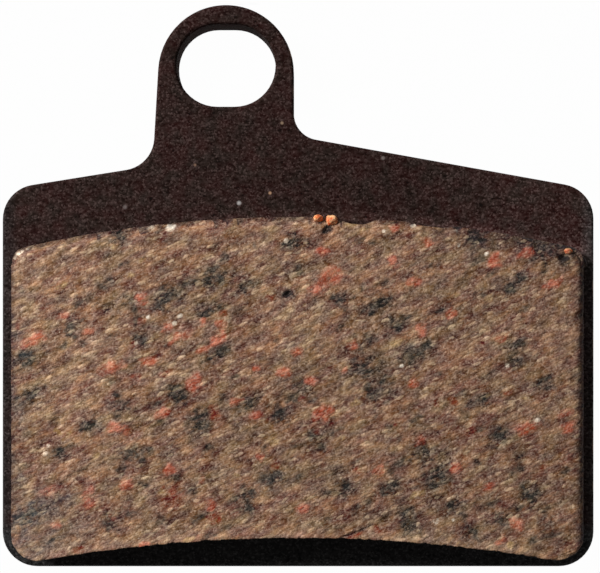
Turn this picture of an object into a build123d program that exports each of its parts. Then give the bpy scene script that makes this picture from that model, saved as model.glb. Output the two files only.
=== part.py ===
import math
import os

from build123d import *

# Bicycle disc brake pad: a stamped steel backing plate with one pin ear, and a moulded
# friction block bonded flat to its face. Sizes are in millimetres and slopes in degrees.
# The middle of the pin eye is at x = 0 and y = 0, the plate's back face lies at z = 0,
# the ear points along +Y and the friction face looks up, along +Z.

# Pin eye: an oblong hole, a little longer than it is high so that the pad can float
eye_height = 3.9
eye_float = 0.8

# Ear round the eye: a round crown, an upright right side and a left side that flares
ear_side_wall = 0.87
ear_crown_wall = 0.92
ear_left_flare = 3.3
left_root_radius = 1.57
right_root_radius = 1.25

# Body of the backing plate
plate_thickness = 1.8
plate_width = 28.0
plate_side_height = 17.85
eye_above_shoulders = 5.88
ear_offset = 3.42
left_shoulder_slope = 9.1
right_shoulder_slope = 10.2
plate_corner_radius = 1.65

# Edges of the stamping: rolled over on the punch side, lightly broken on the back
die_roll_radius = 0.16
back_edge_break = 0.1

# Friction block, measured at its foot on the plate
block_thickness = 2.2
block_side_margin = 0.8
block_crown_drop = 1.32
block_hollow_rise = 1.66
block_crown_radius = 58.0
block_hollow_radius = 67.5
block_top_corner_radius = 0.8
block_lower_corner_radius = 1.25
block_draft = 2.0
block_edge_radius = 0.2

# Places that follow from the sizes
ear_radius = (eye_height + eye_float) / 2 + ear_side_wall
ear_top = eye_height / 2 + ear_crown_wall
ear_centre = Vector(0, ear_top - ear_radius)
plate_left = ear_offset - plate_width / 2
plate_right = ear_offset + plate_width / 2
shoulder_level = -eye_above_shoulders
plate_bottom = shoulder_level - plate_side_height


def rounded(outline, point, radius):
    # Rounds the one corner of a flat outline that lies at the given point
    corner = outline.vertices().sort_by_distance(point)[0]
    return fillet(corner, radius)


def arc_rise(radius, half_chord):
    # Height of an arc's middle above its ends
    return radius - math.sqrt(radius**2 - half_chord**2)


def make_backing_plate():
    upper_left = Vector(plate_left, shoulder_level)
    upper_right = Vector(plate_right, shoulder_level)
    lower_left = Vector(plate_left, plate_bottom)
    lower_right = Vector(plate_right, plate_bottom)

    # Both shoulders climb from the plate's sides until the ear's sides meet them
    left_shoulder = PolarLine(upper_left, plate_width, left_shoulder_slope)
    right_shoulder = PolarLine(upper_right, plate_width, 180 - right_shoulder_slope)
    crown = CenterArc(ear_centre, ear_radius, 0, 180 - ear_left_flare)
    left_side = IntersectingLine(crown @ 1, crown % 1, left_shoulder)
    right_side = IntersectingLine(crown @ 0, crown % 0 * -1, right_shoulder)
    left_root = left_side @ 1
    right_root = right_side @ 1
    body = Polyline(left_root, upper_left, lower_left, lower_right, upper_right, right_root)

    outline = make_face(Curve() + [crown, left_side, body, right_side])
    outline = rounded(outline, left_root, left_root_radius)
    outline = rounded(outline, right_root, right_root_radius)
    for corner in (upper_left, upper_right, lower_left, lower_right):
        outline = rounded(outline, corner, plate_corner_radius)
    outline -= SlotCenterToCenter(eye_float, eye_height)

    plate = extrude(outline, plate_thickness)
    plate = fillet(plate.edges().group_by(Axis.Z)[-1], die_roll_radius)
    return chamfer(plate.edges().group_by(Axis.Z)[0], back_edge_break)


def make_friction_block():
    half_width = plate_width / 2 - block_side_margin
    left = ear_offset - half_width
    right = ear_offset + half_width
    crown_level = shoulder_level - block_crown_drop
    hollow_level = plate_bottom + block_hollow_rise
    top_ends = crown_level - arc_rise(block_crown_radius, half_width)
    lower_ends = hollow_level - arc_rise(block_hollow_radius, half_width)
    top_left = Vector(left, top_ends)
    top_right = Vector(right, top_ends)
    lower_left = Vector(left, lower_ends)
    lower_right = Vector(right, lower_ends)

    # The rim side bulges and the hub side is hollow, as the swept ring of the rotor is
    crown = ThreePointArc(top_right, Vector(ear_offset, crown_level), top_left)
    left_side = Line(top_left, lower_left)
    hollow = ThreePointArc(lower_left, Vector(ear_offset, hollow_level), lower_right)
    right_side = Line(lower_right, top_right)

    outline = make_face(Curve() + [crown, left_side, hollow, right_side])
    for corner in (top_left, top_right):
        outline = rounded(outline, corner, block_top_corner_radius)
    for corner in (lower_left, lower_right):
        outline = rounded(outline, corner, block_lower_corner_radius)

    foot = Plane.XY.offset(plate_thickness)
    block = extrude(foot * outline, block_thickness, taper=block_draft)
    return fillet(block.edges().group_by(Axis.Z)[-1], block_edge_radius)


os.makedirs("parts", exist_ok=True)
export_step(make_backing_plate(), "parts/backing_plate.step")
export_step(make_friction_block(), "parts/friction_block.step")
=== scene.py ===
import math

import bpy
import numpy as np
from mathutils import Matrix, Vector, noise


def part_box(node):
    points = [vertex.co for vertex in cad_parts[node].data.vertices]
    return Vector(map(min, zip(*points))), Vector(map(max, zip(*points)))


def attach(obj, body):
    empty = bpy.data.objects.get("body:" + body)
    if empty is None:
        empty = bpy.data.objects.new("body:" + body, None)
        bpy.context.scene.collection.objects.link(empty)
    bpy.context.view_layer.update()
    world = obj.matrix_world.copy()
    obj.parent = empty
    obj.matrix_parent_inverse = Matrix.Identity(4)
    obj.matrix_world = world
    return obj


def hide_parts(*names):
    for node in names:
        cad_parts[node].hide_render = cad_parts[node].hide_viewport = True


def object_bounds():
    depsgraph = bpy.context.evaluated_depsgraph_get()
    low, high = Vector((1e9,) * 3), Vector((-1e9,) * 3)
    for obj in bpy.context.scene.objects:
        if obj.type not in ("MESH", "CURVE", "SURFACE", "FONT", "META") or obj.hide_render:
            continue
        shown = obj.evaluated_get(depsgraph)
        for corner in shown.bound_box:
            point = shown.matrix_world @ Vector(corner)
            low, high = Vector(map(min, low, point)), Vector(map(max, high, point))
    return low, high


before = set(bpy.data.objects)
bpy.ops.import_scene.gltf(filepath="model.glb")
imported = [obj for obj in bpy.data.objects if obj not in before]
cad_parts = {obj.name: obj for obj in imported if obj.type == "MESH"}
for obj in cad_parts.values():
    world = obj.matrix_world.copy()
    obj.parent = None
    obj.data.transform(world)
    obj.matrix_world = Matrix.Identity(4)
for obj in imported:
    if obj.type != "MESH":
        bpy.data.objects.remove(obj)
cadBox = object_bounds()
mm = 0.001
print("frame loaded:", ", ".join(sorted(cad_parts)))

# The pad lies on its back and is seen from straight above, a hand's breadth away
photoCamera = {
    "widthPx": 600,
    "heightPx": 573,
    "overMm": (3.509, -10.472),   # point of the pad under the lens
    "aboveBackMm": 69.8,
    "scaleLevelMm": 1.64,         # height at which the scale below holds: the plate's widest level
    "pxPerMm": 21.09,
    "sensorMm": 36.0,
}


def linearColour(hexCode, alpha=1.0):
    channels = [int(hexCode[i:i + 2], 16) / 255 for i in (0, 2, 4)]
    bent = [c / 12.92 if c <= 0.04045 else ((c + 0.055) / 1.055) ** 2.4 for c in channels]
    return (*bent, alpha)


def addNode(tree, kind, inputs=None, **settings):
    node = tree.nodes.new(kind)
    for name, value in settings.items():
        setattr(node, name, value)
    for socket, value in (inputs or {}).items():
        if isinstance(value, bpy.types.NodeSocket):
            tree.links.new(value, node.inputs[socket])
        else:
            node.inputs[socket].default_value = value
    return node


def newMaterial(name):
    material = bpy.data.materials.new(name)
    material.use_nodes = True
    material.node_tree.nodes.clear()
    return material, material.node_tree


def setStops(ramp, stops):
    elements = ramp.color_ramp.elements
    while len(elements) < len(stops):
        elements.new(1.0)
    for element, (position, hexCode) in zip(elements, stops):
        element.position = position
        element.color = linearColour(hexCode)


# Friction block: the pressed compound, ground flat, with its grains standing proud or torn out
frictionBlock = {
    "seed": 11,
    "cellMm": 0.08,               # spacing of the quads on the face
    "endColumns": 14,             # extra columns that follow the rounded corners
    "wallCellMm": 0.13,
    "crispEdge": 0.9,             # how square the ground edges are, 0 keeps the drawn rounding
    "crispFade": 1.6,             # how fast that fades round the corner to the right-hand edge
    "wornMm": 0.4,                # the right edge is rubbed round, this far in
    "biteMm": 0.3,                # crumbs broken out of the rim: length, then depth at left, middle and right
    "crownBiteMm": (0.12, 0.3, 0.4),
    "hollowBiteMm": (0.06, 0.06, 0.06),
    "fineBiteTimes": 2.6,         # finer crumbs among them are this many times shorter
    "fineBiteShare": 0.5,
    "biteFull": 0.8,              # noise at which a bite has its full depth
    "biteTallMm": 0.45,           # this far down the wall is whole again
    "chunkFall": 1.3,             # how steeply the broken chunks begin and end
    "crumbleMm": (0.12, 0.3, 0.55),   # the crown's edge has crumbled this far in: left, middle and right
    "crumbleDeepMm": 0.26,
    "crumbleNoiseMm": 0.35,
    "crumbleRagged": 0.5,
    "crumbleFall": 1.5,           # above 1 the face dips slowly at first
    "grindAngle": 24.0,           # grinding marks, degrees above +X
    "grainMm": 0.21,
    "grainStretch": 1.3,
    "grainHeightMm": 0.015,
    "lumpMm": 0.55,
    "lumpStretch": 1.8,
    "lumpHeightMm": 0.014,
    "waveMm": 4.0,
    "waveHeightMm": 0.012,
    "pitMm": 0.7,
    "pitStretch": 1.4,
    "pitFrom": 0.4,               # only noise above this makes a pit
    "pitDepthMm": 0.28,
    "wallRelief": 0.35,           # the moulded walls are smoother than the ground face
    "settleMm": 0.2,              # the foot stays flat on the plate, and relief starts above it
    "footWallMm": 1.0,            # wear never gets lower down the wall than this
    "chipHeightMm": 0.02,         # chips and grains stand this proud
    "raggedMm": 0.22,             # size of the ragged bits on the rims of grains and holes
    "raggedStretch": 1.2,
    "grainRagged": 0.5,
    "bendMm": 0.42,               # grains are no neat ovals: bent over this size, by this much
    "bendByMm": (0.24, 0.15),
    "grainSpread": 1.5,           # rim of a grain's fade, in half lengths
    "copperSpread": 1.68,
    "chipStrength": (0.75, 1.15),
    "holeSpread": 1.3,
    "holeRagged": 0.4,
    "holeShade": (6.0, 2.0, 0.95),  # painted shade in torn holes: per mm of depth, per share of hole, most
    "cavityStops": 0.26,          # painted shade in hollows and painted light on tops, by this much at the next height
    "cavityMm": 0.05,
    "cavityRange": (-3, 1),
    "paleBandMm": 0.36,           # along the hollow edge the ground face is paler
    "paleBandStops": 0.48,
    "paleLeftMm": 8.0,            # and painted light makes it paler towards its left end, while the rest is darker
    "paleLeftStops": 0.16,
    "paleLeftMean": 0.25,
    "brokenMm": 0.2,              # bites this deep hold the most dirt
    "brokenMost": 0.75,
    "wallDirtAndShade": (0.55, 0.4),      # dirt on all walls, and more at the crown's right end; on the right-hand edge it is painted shade as well
    "darkerEnd": (6.0, 3.9),       # that end begins at 3.9 sixths of the width
}

# Dirt in the rough rim, and along the right-hand edge painted shade where it turns from the light: how far in
# it reaches, where it starts, how ragged and how thick it is
rimDirtAndShade = {
    "left": {"reachMm": 0.3, "start": 1.0, "ragged": 0.0, "most": 1.0, "share": 0.6},
    "right": {"reachMm": 0.5, "start": 1.15, "ragged": 0.4, "most": 1.0, "share": 0.85},
    "crown": {"reachMm": 0.3, "start": 0.7, "ragged": 0.8, "most": 0.65, "share": 1.0},
    "crownEnd": {"reachMm": 0.9, "start": 1.1, "ragged": 0.5, "most": 0.63, "share": 1.0},
}

# Each pattern reads its own slice of the same noise
noiseSlices = {
    "grain": 1, "lump": 3, "wave": 4, "pit": 5, "ragged": 6, "hollowBites": 21, "crownBites": 24,
    "bendAlong": 31, "bendAcross": 33, "crumble": 41, "knob": 51,
}
sliceStep = np.array([17.3, 5.1, 9.7])

# Grains that stand out: pixel x and y in the photo, then length and width in mm along the grinding
blockGrains = {
    "slateSmudges": [
        (215, 279, 2.0, 0.9), (168, 297, 2.4, 1.0), (245, 287, 1.4, 0.8), (288, 295, 0.9, 0.7),
        (130, 302, 1.2, 0.8), (75, 325, 1.0, 1.2), (143, 338, 1.3, 0.9), (25, 362, 1.6, 0.9),
        (215, 355, 1.6, 0.7), (205, 310, 1.2, 0.8), (375, 305, 1.8, 1.0), (343, 303, 1.0, 1.2),
        (395, 325, 1.3, 0.8), (414, 352, 2.0, 0.8), (368, 368, 1.6, 1.6), (378, 392, 1.4, 1.2),
        (360, 345, 1.0, 0.7), (477, 240, 1.2, 0.9), (545, 250, 2.4, 1.2), (515, 282, 1.6, 1.0),
        (515, 350, 0.9, 1.4), (546, 384, 1.2, 0.9), (200, 422, 1.3, 1.2), (60, 452, 1.1, 0.8),
        (32, 395, 1.3, 0.8), (130, 455, 1.6, 0.9), (118, 402, 1.1, 0.9), (177, 395, 1.1, 1.2),
        (248, 403, 1.3, 0.7), (281, 414, 1.0, 1.2), (315, 440, 1.7, 0.9), (302, 393, 1.2, 0.8),
        (272, 478, 1.3, 1.0), (247, 502, 0.9, 1.4), (345, 488, 1.2, 0.8), (393, 486, 1.5, 0.8),
        (437, 476, 1.5, 1.2), (424, 455, 1.0, 1.2), (409, 520, 1.0, 1.6), (471, 534, 0.9, 1.2),
        (530, 496, 1.0, 1.3), (502, 520, 1.2, 0.9), (455, 506, 1.2, 0.8), (497, 436, 1.2, 1.0),
        (482, 399, 1.2, 0.8), (27, 516, 1.6, 1.0), (112, 522, 1.2, 0.9), (545, 522, 1.0, 0.8),
        (295, 243, 1.0, 1.1), (118, 240, 1.2, 0.7), (90, 425, 1.2, 0.8),
    ],
    "darkGrains": [
        # the grain at 327, 229 lies in a torn hole and is painted shade there
        (120, 237, 0.9, 0.45), (327, 229, 0.42, 0.36), (161, 228, 0.4, 0.25), (190, 280, 0.75, 0.4),
        (215, 279, 1.0, 0.45), (225, 258, 0.75, 0.35), (245, 286, 0.9, 0.5), (287, 294, 0.55, 0.4),
        (288, 244, 0.8, 0.5),
        (299, 268, 0.4, 0.6), (166, 298, 1.0, 0.75), (136, 316, 0.6, 0.8), (143, 337, 0.75, 0.5),
        (70, 328, 0.5, 0.75), (82, 345, 0.5, 0.3), (27, 362, 0.9, 0.7), (63, 345, 0.4, 0.25),
        (222, 350, 0.7, 0.5), (208, 363, 0.7, 0.5), (234, 377, 0.5, 0.35), (298, 382, 0.6, 0.45),
        (222, 306, 0.7, 0.35), (206, 314, 0.7, 0.45), (80, 301, 0.8, 0.4), (105, 283, 0.7, 0.45),
        (175, 387, 0.8, 0.4), (124, 263, 0.4, 0.25), (255, 244, 0.3, 0.35), (20, 289, 0.4, 0.3),
        (211, 268, 0.8, 0.4), (167, 344, 0.4, 0.22), (115, 335, 0.5, 0.25), (279, 340, 0.3, 0.4),
        (113, 382, 0.5, 0.35), (477, 238, 0.85, 0.65), (519, 240, 0.7, 0.4), (542, 243, 0.5, 0.55),
        (360, 241, 0.4, 0.25), (372, 243, 0.4, 0.22), (476, 260, 0.65, 0.28), (566, 261, 0.35, 0.35),
        (544, 269, 0.55, 0.4), (492, 272, 0.6, 0.3), (336, 300, 0.6, 0.6), (361, 288, 0.45, 0.3),
        (384, 284, 0.7, 0.3), (378, 304, 1.5, 0.6), (394, 325, 0.8, 0.5), (371, 339, 0.8, 0.5),
        (412, 357, 1.2, 0.5), (356, 358, 0.6, 0.45), (363, 371, 0.6, 0.6), (424, 345, 0.5, 0.4),
        (437, 311, 1.3, 0.2), (511, 288, 0.5, 0.55), (521, 279, 0.6, 0.35), (481, 295, 0.6, 0.4),
        (524, 310, 0.6, 0.28), (520, 344, 0.65, 0.45), (514, 364, 0.4, 0.6), (543, 380, 0.7, 0.32),
        (546, 389, 0.5, 0.25), (437, 374, 0.35, 0.3), (339, 328, 0.4, 0.3), (352, 334, 0.3, 0.5),
        (385, 379, 0.8, 0.4), (367, 386, 0.5, 0.35), (347, 310, 0.4, 0.25), (406, 316, 0.35, 0.25),
        (427, 267, 0.35, 0.25), (31, 394, 0.9, 0.4), (119, 397, 0.5, 0.45), (126, 407, 0.5, 0.45),
        (156, 405, 0.5, 0.4), (179, 398, 0.7, 0.65), (117, 416, 0.4, 0.3), (200, 422, 1.05, 0.95),
        (162, 423, 0.5, 0.4), (222, 400, 0.5, 0.3), (249, 406, 0.85, 0.35), (279, 414, 0.55, 0.9),
        (292, 400, 0.6, 0.3), (60, 451, 0.65, 0.4), (132, 452, 0.9, 0.6), (150, 452, 0.6, 0.3),
        (141, 461, 0.4, 0.25), (122, 471, 0.65, 0.35), (176, 478, 0.7, 0.32), (271, 478, 0.9, 0.55),
        (299, 478, 0.6, 0.35), (26, 516, 0.9, 0.55), (108, 526, 0.35, 0.5), (133, 515, 0.6, 0.4),
        (198, 519, 0.85, 0.3), (249, 495, 0.5, 0.8), (233, 500, 0.5, 0.5), (210, 535, 0.6, 0.4),
        (224, 528, 0.6, 0.3), (161, 519, 0.35, 0.5), (55, 540, 0.4, 0.3), (143, 484, 0.4, 0.3),
        (87, 427, 0.6, 0.45), (96, 416, 0.35, 0.3), (209, 448, 0.6, 0.4), (263, 447, 0.4, 0.4),
        (193, 492, 0.5, 0.35), (248, 510, 0.5, 0.45), (28, 466, 0.4, 0.3), (314, 400, 0.5, 0.3),
        (373, 395, 0.5, 0.35), (416, 418, 0.5, 0.32), (311, 436, 0.9, 0.5), (336, 430, 0.7, 0.3),
        (321, 447, 0.4, 0.4), (356, 461, 0.95, 0.2), (424, 452, 0.5, 0.85), (402, 462, 0.85, 0.36),
        (393, 471, 0.45, 0.45), (437, 477, 1.1, 0.75), (478, 460, 0.38, 0.35), (518, 469, 0.8, 0.5),
        (567, 471, 0.4, 0.45), (345, 486, 0.65, 0.5), (390, 488, 0.9, 0.35), (417, 488, 0.5, 0.28),
        (326, 494, 0.4, 0.28), (369, 502, 0.65, 0.36), (452, 505, 0.5, 0.4), (407, 512, 0.6, 0.65),
        (408, 526, 0.5, 0.6), (465, 517, 0.4, 0.4), (473, 533, 0.4, 0.6), (501, 520, 0.6, 0.45),
        (531, 494, 0.55, 0.75), (516, 508, 0.5, 0.35), (554, 535, 0.9, 0.4), (534, 539, 0.5, 0.32),
        (492, 506, 0.9, 0.25), (480, 429, 0.5, 0.25), (501, 434, 0.7, 0.5), (466, 411, 0.6, 0.45),
        (462, 394, 0.5, 0.3), (483, 398, 0.5, 0.3), (547, 510, 0.6, 0.4), (399, 440, 0.4, 0.3),
        (390, 428, 0.4, 0.4), (329, 519, 0.4, 0.3), (354, 511, 0.6, 0.35),
    ],
    "strawGrains": [
        (60, 286, 0.36, 0.34), (128, 276, 0.42, 0.34), (142, 261, 0.35, 0.25), (350, 225, 0.6, 0.28),
        (365, 227, 0.4, 0.25), (490, 299, 0.5, 0.3), (397, 343, 0.5, 0.42), (58, 432, 0.34, 0.36),
        (68, 437, 0.45, 0.26), (160, 492, 0.4, 0.25), (238, 478, 0.5, 0.28), (275, 441, 0.55, 0.42),
        (95, 458, 0.5, 0.2), (356, 402, 0.55, 0.33), (341, 437, 0.36, 0.32), (416, 496, 0.9, 0.25),
        (510, 547, 0.33, 0.36), (411, 425, 0.38, 0.24), (188, 539, 0.52, 0.24), (112, 248, 0.3, 0.22),
        (455, 295, 0.5, 0.3),
    ],
    "copperChips": [
        (63, 316, 0.45, 0.4), (31, 341, 1.1, 0.4), (37, 336, 0.5, 0.35), (88, 331, 0.45, 0.35),
        (140, 299, 0.55, 0.4), (168, 328, 0.35, 0.3), (179, 337, 0.8, 0.35), (111, 368, 0.9, 0.45),
        (148, 361, 0.5, 0.35), (202, 321, 0.35, 0.22), (222, 323, 0.45, 0.35), (222, 335, 0.5, 0.45),
        (214, 342, 0.4, 0.35), (205, 349, 0.7, 0.28), (297, 352, 0.4, 0.38), (285, 372, 0.55, 0.45),
        (258, 368, 0.35, 0.25), (195, 381, 0.7, 0.5), (321, 251, 0.4, 0.38), (331, 276, 1.0, 0.7),
        (314, 290, 0.4, 0.4), (393, 262, 0.5, 0.4), (396, 227, 0.42, 0.35), (427, 243, 0.5, 0.45),
        (415, 281, 0.52, 0.38), (493, 260, 0.5, 0.7), (526, 254, 0.6, 0.35),
        (553, 284, 0.8, 0.32), (453, 314, 0.6, 0.35), (422, 329, 0.42, 0.5), (353, 345, 0.4, 0.38),
        (501, 338, 0.55, 0.3), (413, 383, 0.4, 0.38), (310, 380, 0.45, 0.45), (114, 428, 0.5, 0.42),
        (127, 430, 0.5, 0.36), (163, 414, 0.5, 0.35), (236, 402, 0.5, 0.33), (171, 469, 0.5, 0.4),
        (126, 484, 0.6, 0.4), (50, 492, 0.85, 0.33), (88, 503, 0.7, 0.5), (212, 505, 0.5, 0.35),
        (259, 458, 0.38, 0.38), (142, 545, 0.4, 0.25), (303, 508, 0.5, 0.38), (257, 414, 0.5, 0.33),
        (201, 482, 0.4, 0.3), (190, 388, 0.5, 0.38), (323, 412, 0.8, 0.45), (526, 428, 0.85, 0.55),
        (569, 427, 0.55, 0.35), (564, 414, 0.5, 0.33), (420, 441, 0.5, 0.38), (457, 468, 0.4, 0.42),
        (380, 470, 0.45, 0.38), (488, 486, 0.5, 0.33), (517, 525, 0.55, 0.5), (56, 525, 0.38, 0.33),
        (503, 540, 0.4, 0.33), (90, 490, 0.4, 0.28), (346, 370, 0.33, 0.28),
    ],
    "rustChips": [
        (17, 327, 0.35, 0.35), (143, 321, 0.35, 0.3), (131, 344, 0.35, 0.38), (222, 313, 0.48, 0.35),
        (271, 298, 0.4, 0.35), (215, 413, 0.5, 0.65), (173, 496, 0.75, 1.0), (111, 517, 0.4, 0.38),
        (213, 518, 0.5, 0.48), (274, 465, 0.5, 0.38), (79, 549, 0.4, 0.3), (303, 399, 0.42, 0.38),
        (333, 423, 0.3, 0.25), (319, 431, 0.4, 0.35), (469, 432, 0.75, 0.38), (396, 425, 0.35, 0.33),
        (461, 457, 0.25, 0.28), (358, 470, 0.4, 0.35), (544, 468, 0.35, 0.33), (353, 536, 0.75, 0.28),
        (377, 529, 0.38, 0.38), (435, 404, 0.4, 0.33), (454, 402, 0.33, 0.42), (508, 391, 0.5, 0.3),
        (483, 340, 0.3, 0.35), (166, 373, 0.5, 0.38), (137, 378, 0.45, 0.3),
    ],
    "paleSpecks": [
        (170, 227, 0.42, 0.36), (150, 228, 0.3, 0.24), (14, 258, 0.13, 0.12), (17, 254, 0.17, 0.13),
        (21, 251, 0.15, 0.13), (27, 249, 0.15, 0.11), (175, 324, 0.24, 0.22), (148, 317, 0.2, 0.18),
        (136, 343, 0.2, 0.16), (286, 240, 0.2, 0.18), (244, 281, 0.22, 0.16), (384, 231, 0.18, 0.16),
        (413, 226, 0.26, 0.18), (402, 366, 0.2, 0.17), (507, 365, 0.24, 0.2), (459, 245, 0.22, 0.18),
        (457, 231, 0.22, 0.17), (45, 454, 0.22, 0.18), (48, 446, 0.2, 0.18), (436, 521, 0.3, 0.22),
        (537, 420, 0.26, 0.2), (453, 520, 0.2, 0.18), (487, 254, 0.22, 0.2), (99, 234, 0.2, 0.16),
        (180, 316, 0.26, 0.22),
    ],
    "greyDust": [
        (28, 545, 2.4, 1.5), (56, 541, 2.0, 1.0), (19, 518, 1.1, 1.6), (16, 470, 0.6, 2.2),
        (16, 405, 0.6, 2.4), (16, 335, 0.6, 2.4), (48, 507, 3.2, 1.5), (82, 530, 1.8, 1.0),
    ],
}

# Copper lumps that stick out of the crown's edge: pixel x and y in the photo, then length, width and
# height of the top over the face in mm, and shine, the share of copper colour with painted highlights
copperLumps = [(318, 218, 0.48, 0.32, 0.03, 1.0), (332, 220, 0.54, 0.5, 0.05, 1.0),
               (569, 251, 0.38, 0.3, -0.02, 0.55)]

# Chunks broken out of the crown's edge: pixel x, length and depth in mm
crownChunks = [(357, 2.2, 0.27), (431, 2.6, 0.13)]

# Holes where grains fell out, and one crack: pixel x and y, length, width and depth in mm
tornPits = [(327, 230, 0.5, 0.35, 0.2), (288, 294, 0.4, 0.25, 0.12), (355, 533, 1.7, 0.14, 0.1),
            (563, 258, 0.5, 0.25, 0.15), (395, 219, 0.45, 0.3, 0.18)]


def topSpot(node, pixelX, pixelY):
    # The spot on top of a node, in mm, that the photo shows at this pixel
    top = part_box(node)[1].z / mm
    reach = photoCamera["aboveBackMm"] - photoCamera["scaleLevelMm"]
    scale = photoCamera["pxPerMm"] * reach / (photoCamera["aboveBackMm"] - top)
    x = photoCamera["overMm"][0] + (pixelX - photoCamera["widthPx"] / 2) / scale
    y = photoCamera["overMm"][1] - (pixelY - photoCamera["heightPx"] / 2) / scale
    return np.array([[x, y, top]])


def streakFrame(points):
    turn = math.radians(frictionBlock["grindAngle"])
    along = points[:, 0] * math.cos(turn) + points[:, 1] * math.sin(turn)
    across = points[:, 1] * math.cos(turn) - points[:, 0] * math.sin(turn)
    return np.column_stack([along, across, points[:, 2]])


def noiseAt(points, sizeMm, stretch, noiseSlice):
    scaled = points / sizeMm
    scaled[:, 0] /= stretch
    scaled += (frictionBlock["seed"], 0, 0) + sliceStep * noiseSlice
    return np.array([noise.noise(Vector(p)) for p in scaled])


def patternNoise(points, pattern, stretch=1.0):
    # The noise of a pattern whose size in mm is in the settings
    return noiseAt(points, frictionBlock[pattern + "Mm"], stretch, noiseSlices[pattern])


def levelPoints(node, level):
    points = np.array([v.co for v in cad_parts[node].data.vertices]) / mm
    sameLevel = 0.001
    return points[np.abs(points[:, 2] - level) < sameLevel]


def edgeSection(node):
    # How far the outline grows, level by level, from the top face down: rounding, then drafted wall
    points = np.array([v.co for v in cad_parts[node].data.vertices]) / mm
    levels, counts = np.unique(points[:, 2].round(4), return_counts=True)
    ringShare = 0.4                     # a level with fewer points than this share is no whole ring
    full = levels[counts > counts.max() * ringShare][::-1]
    reach = np.array([levelPoints(node, level)[:, 0].min() for level in full])
    return reach[0] - reach, full


def rimCurve(top):
    # The crown edge or the hollow edge of the drawn face, from left to right
    rim = levelPoints("friction_block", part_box("friction_block")[1].z / mm)
    middle = (rim[:, 1].min() + rim[:, 1].max()) / 2
    curve = rim[(rim[:, 1] > middle) == top]
    return curve[np.argsort(curve[:, 0])]


def smoothStep(value):
    return value ** 2 * (3 - 2 * value)


def rimBites(columns, depths, noiseSlice):
    # How far the rim has crumbled in at each column
    along = np.column_stack([columns, np.zeros_like(columns), np.zeros_like(columns)])
    rough = noiseAt(along, frictionBlock["biteMm"], 1.0, noiseSlice)
    fineMm = frictionBlock["biteMm"] / frictionBlock["fineBiteTimes"]
    rough += frictionBlock["fineBiteShare"] * noiseAt(along, fineMm, 1.0, noiseSlice + 1)
    bitten = smoothStep(np.clip(rough / frictionBlock["biteFull"], 0, 1))
    middle = (columns[0] + columns[-1]) / 2
    return bitten * np.interp(columns, [columns[0], middle, columns[-1]], depths)


def blockFace():
    # A grid of quads between the hollow edge and the crown, closer together at the corners
    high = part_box("friction_block")[1].z / mm
    crown = rimCurve(True)
    hollow = rimCurve(False)
    left, right = crown[:, 0].min(), crown[:, 0].max()

    cell = frictionBlock["cellMm"]
    ends = frictionBlock["endColumns"]
    cornerReach = cell * ends * 2 / math.pi
    bend = cornerReach * (1 - np.cos(np.linspace(0, math.pi / 2, ends + 1)))
    straight = round((right - left - 2 * cornerReach) / cell)
    inner = np.linspace(left + cornerReach, right - cornerReach, straight + 1)
    columns = np.concatenate([left + bend[:-1], inner, (right - bend[:-1])[::-1]])
    rows = round((crown[:, 1].max() - hollow[:, 1].min()) / cell)
    share = np.linspace(0, 1, rows + 1)
    bites = [rimBites(columns, frictionBlock["hollowBiteMm"], noiseSlices["hollowBites"]),
             rimBites(columns, frictionBlock["crownBiteMm"], noiseSlices["crownBites"])]
    chunks = np.zeros_like(columns)
    for pixelX, length, deep in crownChunks:
        away = np.abs(columns - topSpot("friction_block", pixelX, 0)[0, 0]) * 2 / length
        gone = np.clip(frictionBlock["chunkFall"] * (1 - away), 0, 1)
        chunks = np.maximum(chunks, deep * smoothStep(gone))
    lower = np.interp(columns, hollow[:, 0], hollow[:, 1]) + bites[0]
    upper = np.interp(columns, crown[:, 0], crown[:, 1]) - bites[1] - chunks
    y = lower[None, :] + share[:, None] * (upper - lower)[None, :]
    x = np.broadcast_to(columns, y.shape)
    return np.stack([x, y, np.full(y.shape, high)], axis=-1), bites, chunks


def gridQuads(index):
    corners = index[:-1, :-1], index[:-1, 1:], index[1:, 1:], index[1:, :-1]
    return np.stack([c.ravel() for c in corners], axis=1)


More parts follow.
